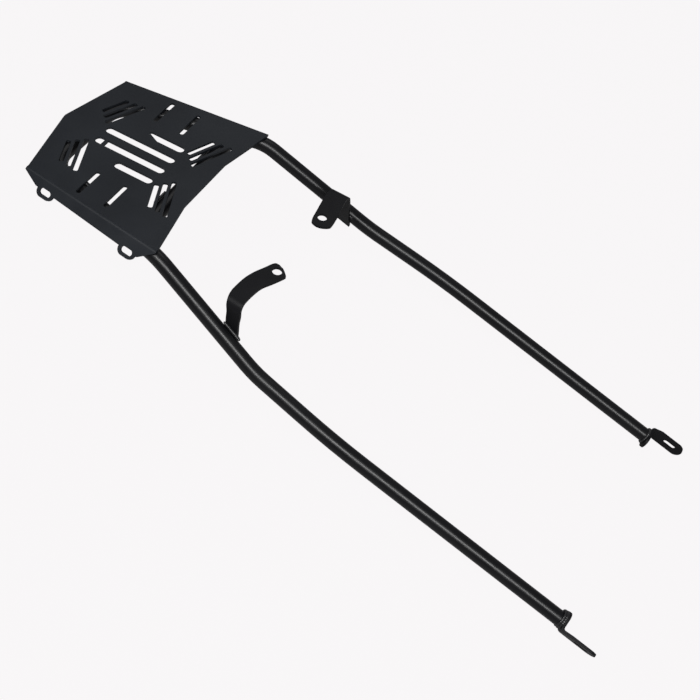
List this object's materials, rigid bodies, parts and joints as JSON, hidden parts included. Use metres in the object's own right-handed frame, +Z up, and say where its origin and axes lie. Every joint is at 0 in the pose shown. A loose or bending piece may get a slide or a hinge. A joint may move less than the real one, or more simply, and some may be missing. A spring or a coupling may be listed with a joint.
{
  "type": "motorcycle luggage rack",
  "caption": "Rear luggage rack of a motorcycle: a slotted, folded sheet deck on two long bent tubes, with bolt brackets on the tubes and slotted lugs at their front ends.",
  "frame": {"origin": "on the deck's top face, on the centre line, midway along the two long middle slots", "axes": "+X to the rider's right, +Y forward towards the slotted lugs, +Z up, square to the deck"},
  "size_m": [0.3498, 0.854, 0.2436],
  "materials": {
    "deck_coat": "satin black powder coat",
    "tube_coat": "satin black powder coat",
    "bracket_coat": "satin black powder coat",
    "weld_coat": "satin black powder coat over rippled weld"
  },
  "bodies": {
    "root": {"deck_plate": "deck_coat", "right_side_tube": "tube_coat", "left_side_tube": "tube_coat", "front_cross_tube": "tube_coat", "right_bolt_bracket": "bracket_coat", "left_bolt_bracket": "bracket_coat", "right_front_lug": "bracket_coat", "left_front_lug": "bracket_coat", "rear_butt_weld": "weld_coat", "cross_tube_welds": "weld_coat", "deck_stitch_welds": "weld_coat", "right_bracket_welds": "weld_coat", "left_bracket_welds": "weld_coat", "right_lug_weld": "weld_coat", "left_lug_weld": "weld_coat"}
  },
  "joints": []
}
